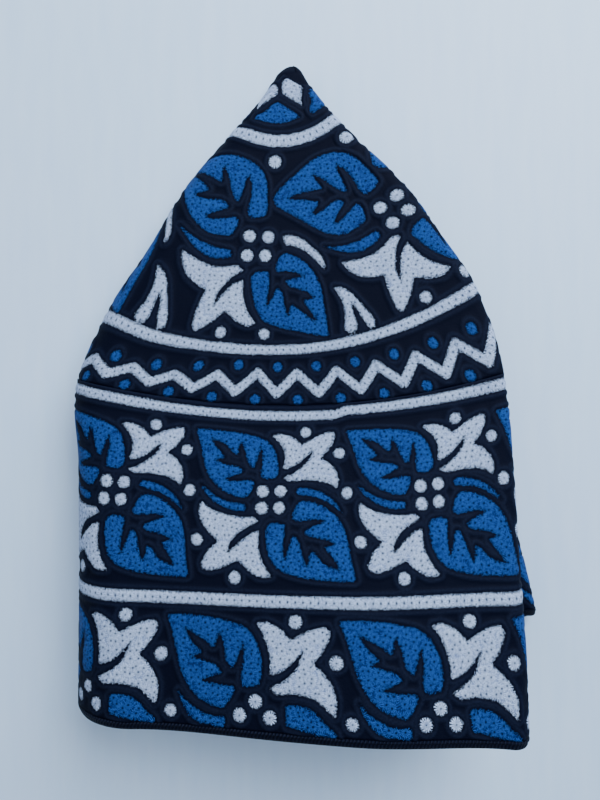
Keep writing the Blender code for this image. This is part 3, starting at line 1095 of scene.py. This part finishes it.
# %% Embroidered cloth
def embroidered_cloth(name):
    """Colour where a distance plus the threads' fray is above nought; the threads' painted light and shade
    tint the colour and also give the height.
    """
    material, tree = new_material(name)
    white, blue, even = split_apart(tree, read_attribute(tree, "pattern"))
    grain = noise(tree, own_place(tree), 2400.0, 2.0)
    broad = noise(tree, own_place(tree), 260.0, 3.0)
    spokes, hole, rim_of_cell = stitch_cells(tree, read_attribute(tree, "stitch"), even)
    light = painted_thread_light(tree, spokes, hole, rim_of_cell, grain, broad)

    fray = math_node(tree, "MULTIPLY_ADD", spokes, 0.52, between(tree, even, 0.0, 1.0, -0.40, -0.28))
    fray = math_node(tree, "ADD", fray, between(tree, grain, 0.3, 0.7, -0.22, 0.22))
    white_on = between(tree, math_node(tree, "ADD", white, fray), -0.06, 0.06)
    blue_on = between(tree, math_node(tree, "ADD", blue, fray), -0.06, 0.06)

    # The threads' shade colours and highlights are painted light and shade, chosen by the painted light
    # value.
    white_thread = mixed(tree, between(tree, light, 0.08, 0.95), WHITE_SHADE, WHITE)
    blue_thread = mixed(tree, between(tree, light, 0.08, 0.66), BLUE_SHADE, BLUE)
    blue_thread = mixed(tree, between(tree, light, 0.38, 0.85, 0.0, 0.9), blue_thread, BLUE_PAINTED_HIGHLIGHT)
    colour = ground_with_painted_cord_highlight(tree, white, blue, grain)
    # Each needle hole shows navy: partly the navy ground, partly painted shade in the hole.
    colour = mixed(tree, blue_on, colour, mixed(tree, hole, NAVY, blue_thread))
    colour = mixed(tree, white_on, colour, mixed(tree, hole, NAVY, white_thread))

    coloured = math_node(tree, "MAXIMUM", white_on, blue_on)
    height = math_node(tree, "MULTIPLY", light, coloured)
    height = math_node(tree, "ADD", height, math_node(tree, "MULTIPLY", grain, 0.35))
    roughness = between(tree, coloured, 0.0, 1.0, 0.72, 0.52)
    finish_thread(tree, colour, roughness, 0.05, height, 0.00035)
    return material


crown_piece.data.materials.append(embroidered_cloth("crown_embroidery"))
band_piece.data.materials.append(embroidered_cloth("band_embroidery"))

# %% Overcast binding of the hem
# In millimetres: how far apart the threads lie, and how far one slants for each millimetre of width
thread_spacing = 0.8
thread_slant = 0.35


def overcast_binding(name):
    """Slanting threads side by side: a sine of the length round the cap plus a share of the width."""
    material, tree = new_material(name)
    around, across, _ = split_apart(tree, read_attribute(tree, "stitch"))
    slanted = math_node(tree, "MULTIPLY_ADD", across, thread_slant, around)
    wave = math_node(tree, "SINE", math_node(tree, "MULTIPLY", slanted, full_turn / thread_spacing))
    threads = math_node(tree, "MULTIPLY_ADD", wave, 0.5, 0.5)
    grain = noise(tree, own_place(tree), 1800.0, 2.0)
    shade = math_node(tree, "MULTIPLY", threads, grain)
    # The middle of each thread is painted lighter and the grooves between threads darker, as painted light
    # and shade, with a noise of random tone.
    colour = mixed(tree, between(tree, shade, 0.1, 0.6), NAVY, NAVY_PAINTED_HIGHLIGHT)
    finish_thread(tree, colour, 0.6, 0.08, math_node(tree, "ADD", threads, grain), 0.0003)
    return material


hem_piece.data.materials.append(overcast_binding("hem_overcast"))

# %% [markdown]
# ## Joining the frame
# Each new piece stands for one node of the plain model, and rides on its only body.

# %% Ride and replace
for piece, node, finish in (
    (crown_piece, "crown", "crown_cloth"),
    (band_piece, "side_band", "band_cloth"),
    (hem_piece, "hem_edge", "hem_binding"),
):
    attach(piece, "root")
    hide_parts(node)
    print(piece.name, "stands for", node)

# %% [markdown]
# ## Table, light and camera
# The cap lies on a pale table under soft light from above, stronger from the upper right. The camera
# looks straight down from close above, with a wide lens.

# %% Table
table_side = 1.2
TABLE_SHADE = (0.58, 0.74, 0.98, 1.0)
TABLE_LIGHT = (0.63, 0.78, 1.0, 1.0)


def pale_table(name):
    """A pale surface with a faint grain, drawn out along the table."""
    material = bpy.data.materials.new(name)
    material.use_nodes = True
    tree = material.node_tree
    stretch = tree.nodes.new("ShaderNodeMapping")
    stretch.inputs["Scale"].default_value = (60.0, 9.0, 1.0)
    tree.links.new(own_place(tree), stretch.inputs["Vector"])
    grain = noise(tree, stretch.outputs["Vector"], 5.0, 4.0)
    shader = tree.nodes["Principled BSDF"]
    colour = mixed(tree, between(tree, grain, 0.3, 0.7), TABLE_SHADE, TABLE_LIGHT)
    give(tree, colour, shader.inputs["Base Color"])
    give(tree, 0.6, shader.inputs["Roughness"])
    return material


half_side = table_side / 2
table_corners = [(x * half_side, y * half_side, 0.0) for x, y in ((-1, -1), (1, -1), (1, 1), (-1, 1))]
table_mesh = bpy.data.meshes.new("floor")
table_mesh.from_pydata(table_corners, [], [(0, 1, 2, 3)])
table_mesh.materials.append(pale_table("pale_floor"))
table = bpy.data.objects.new("floor", table_mesh)
bpy.context.collection.objects.link(table)
print("table", table_side, "m square")


# %% Soft lights
DAYLIGHT = (0.78, 0.91, 1.0)
ROOM_LIGHT = (0.74, 0.86, 1.0, 1.0)


def soft_light(name, place, target, size, power, tint):
    """A large area light that points from its place to a target."""
    lamp = bpy.data.lights.new(name, "AREA")
    lamp.size = size
    lamp.energy = power
    lamp.color = tint
    holder = bpy.data.objects.new(name, lamp)
    bpy.context.collection.objects.link(holder)
    holder.location = place
    direction = Vector(target) - Vector(place)
    holder.rotation_euler = direction.to_track_quat("-Z", "Y").to_euler()


soft_light("window", (0.26, 0.42, 0.42), (0.02, 0.05, 0.0), 0.5, 9.3, DAYLIGHT)
soft_light("fill", (-0.55, 0.10, 0.6), (0.0, 0.0, 0.0), 0.8, 1.8, DAYLIGHT)
world = bpy.data.worlds.new("soft_room")
world.use_nodes = True
room = world.node_tree.nodes["Background"]
room.inputs["Color"].default_value = ROOM_LIGHT
room.inputs["Strength"].default_value = 0.42
bpy.context.scene.world = world
print("lights: window, fill and the room")

# %% Camera
# Found by laying the plain model's outline over the photograph
camera_height = 0.165
camera_over = (-0.00308796, -0.00450569)
camera_data = bpy.data.cameras.new("camera")
camera_data.lens = 27.0
camera_data.sensor_width = 36.0
camera_data.sensor_fit = "AUTO"
camera_data.clip_start = 0.005
camera = bpy.data.objects.new("camera", camera_data)
bpy.context.collection.objects.link(camera)
camera.location = (*camera_over, camera_height)
camera.rotation_euler = (0.0, 0.0, 0.0)
bpy.context.scene.camera = camera
print("camera", camera.location[:])
